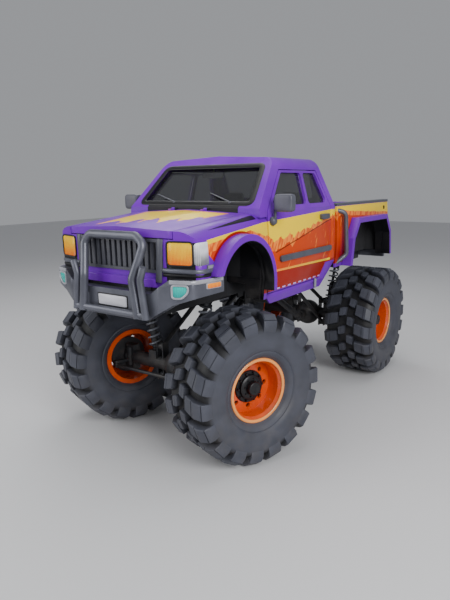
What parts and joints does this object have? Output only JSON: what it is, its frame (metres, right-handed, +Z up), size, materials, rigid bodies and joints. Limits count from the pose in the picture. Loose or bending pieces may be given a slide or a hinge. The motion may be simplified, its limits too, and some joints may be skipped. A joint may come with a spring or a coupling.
{
  "type": "monster truck",
  "caption": "Lifted two-door pickup on oversized lug tyres with a linked-axle ladder chassis, bull bar, opening doors, hood and tailgate, and steered front wheels.",
  "frame": {"origin": "on the ground below the middle of the overall box", "axes": "+X forward to the bull bar, +Y to the driver's left, +Z up"},
  "size_m": [4.58, 2.6558, 2.735],
  "materials": {
    "dark_steel": "satin black",
    "spring_steel": "satin grey",
    "cast_block": "cast",
    "radiator_core": "matte",
    "purple_paint": "gloss",
    "bed_liner": "matte",
    "liner_plastic": "matte",
    "tinted_glass": "tinted",
    "interior_plastic": "matte",
    "seat_fabric": "woven",
    "grille_dark": "matte",
    "amber_lens": "gloss",
    "clear_lens": "gloss",
    "fog_lens": "gloss",
    "red_lens": "gloss",
    "grey_bar": "satin",
    "grey_trim": "satin",
    "tyre_rubber": "matte",
    "orange_rim": "gloss"
  },
  "bodies": {
    "chassis": {"chassis_frame": "dark_steel", "front_axle": "dark_steel", "rear_axle": "dark_steel", "suspension_links": "dark_steel", "coilovers": "spring_steel", "engine": "cast_block", "gearbox": "cast_block", "transfer_case": "cast_block", "radiator": "radiator_core", "driveshafts": "dark_steel", "cab_floor": "purple_paint", "cab_sides": "purple_paint", "firewall": "purple_paint", "cab_back": "purple_paint", "roof": "purple_paint", "windscreen": "tinted_glass", "rear_window": "tinted_glass", "dashboard": "interior_plastic", "steering_wheel": "interior_plastic", "seats": "seat_fabric", "front_fenders": "purple_paint", "inner_fenders": "liner_plastic", "fender_flares": "purple_paint", "nose_panel": "purple_paint", "grille": "grille_dark", "headlamps": "amber_lens", "corner_lamps": "clear_lens", "front_bumper": "grey_bar", "fog_lamps": "fog_lens", "bull_bar": "grey_bar", "bed_floor": "bed_liner", "bed_headboard": "purple_paint", "bed_sides": "purple_paint", "bed_rail_caps": "grey_trim", "tail_lamps": "red_lens", "rear_bumper": "dark_steel", "side_bars": "grey_bar"},
    "door_left": {"door_left": "purple_paint", "door_glass_left": "tinted_glass", "door_trim_left": "grey_trim", "mirror_left": "grey_trim"},
    "door_right": {"door_right": "purple_paint", "door_glass_right": "tinted_glass", "door_trim_right": "grey_trim", "mirror_right": "grey_trim"},
    "hood": {"hood": "purple_paint"},
    "tailgate": {"tailgate": "purple_paint"},
    "knuckle_left": {"knuckle_left": "dark_steel"},
    "knuckle_right": {"knuckle_right": "dark_steel"},
    "tie_rod": {"tie_rod": "dark_steel"},
    "wheel_front_left": {"tyre_front_left": "tyre_rubber", "rim_front_left": "orange_rim"},
    "wheel_front_right": {"tyre_front_right": "tyre_rubber", "rim_front_right": "orange_rim"},
    "wheel_rear_left": {"tyre_rear_left": "tyre_rubber", "rim_rear_left": "orange_rim"},
    "wheel_rear_right": {"tyre_rear_right": "tyre_rubber", "rim_rear_right": "orange_rim"}
  },
  "joints": [
    {"name": "steering", "type": "hinge", "parent": "chassis", "child": "knuckle_left", "pos_m": [1.39, 0.66, 0.69], "axis": [0, 0, 1], "range_deg": [-4, 44]},
    {"name": "steering_right", "type": "hinge", "parent": "chassis", "child": "knuckle_right", "pos_m": [1.39, -0.66, 0.69], "axis": [0, 0, 1], "range_deg": [-4, 44]},
    {"name": "tie_rod_pivot", "type": "hinge", "parent": "knuckle_left", "child": "tie_rod", "pos_m": [1.54975, 0.60186, 0.612], "axis": [0, 0, 1], "range_deg": [-44, 4]},
    {"name": "front_left_spin", "type": "hinge", "parent": "knuckle_left", "child": "wheel_front_left", "pos_m": [1.44814, 0.81975, 0.69], "axis": [0.342, 0.9397, 0], "continuous": true},
    {"name": "front_right_spin", "type": "hinge", "parent": "knuckle_right", "child": "wheel_front_right", "pos_m": [1.33186, -0.81975, 0.69], "axis": [0.342, 0.9397, 0], "continuous": true},
    {"name": "rear_left_spin", "type": "hinge", "parent": "chassis", "child": "wheel_rear_left", "pos_m": [-1.51, 0.83, 0.69], "axis": [0, 1, 0], "continuous": true},
    {"name": "rear_right_spin", "type": "hinge", "parent": "chassis", "child": "wheel_rear_right", "pos_m": [-1.51, -0.83, 0.69], "axis": [0, 1, 0], "continuous": true},
    {"name": "door_left_hinge", "type": "hinge", "parent": "chassis", "child": "door_left", "pos_m": [1, 0.818, 1.9], "axis": [0, 0, -1], "range_deg": [0, 65]},
    {"name": "door_right_hinge", "type": "hinge", "parent": "chassis", "child": "door_right", "pos_m": [1, -0.818, 1.9], "axis": [0, 0, 1], "range_deg": [0, 65]},
    {"name": "hood_hinge", "type": "hinge", "parent": "chassis", "child": "hood", "pos_m": [1.146, 0, 2.232], "axis": [0, -1, 0], "range_deg": [0, 50]},
    {"name": "tailgate_hinge", "type": "hinge", "parent": "chassis", "child": "tailgate", "pos_m": [-2.17, 0, 1.628], "axis": [0, -1, 0], "range_deg": [0, 90]}
  ],
  "couplings": [
    {"joint": "steering_right", "follows": "steering", "ratio": 1},
    {"joint": "tie_rod_pivot", "follows": "steering", "ratio": -1}
  ]
}
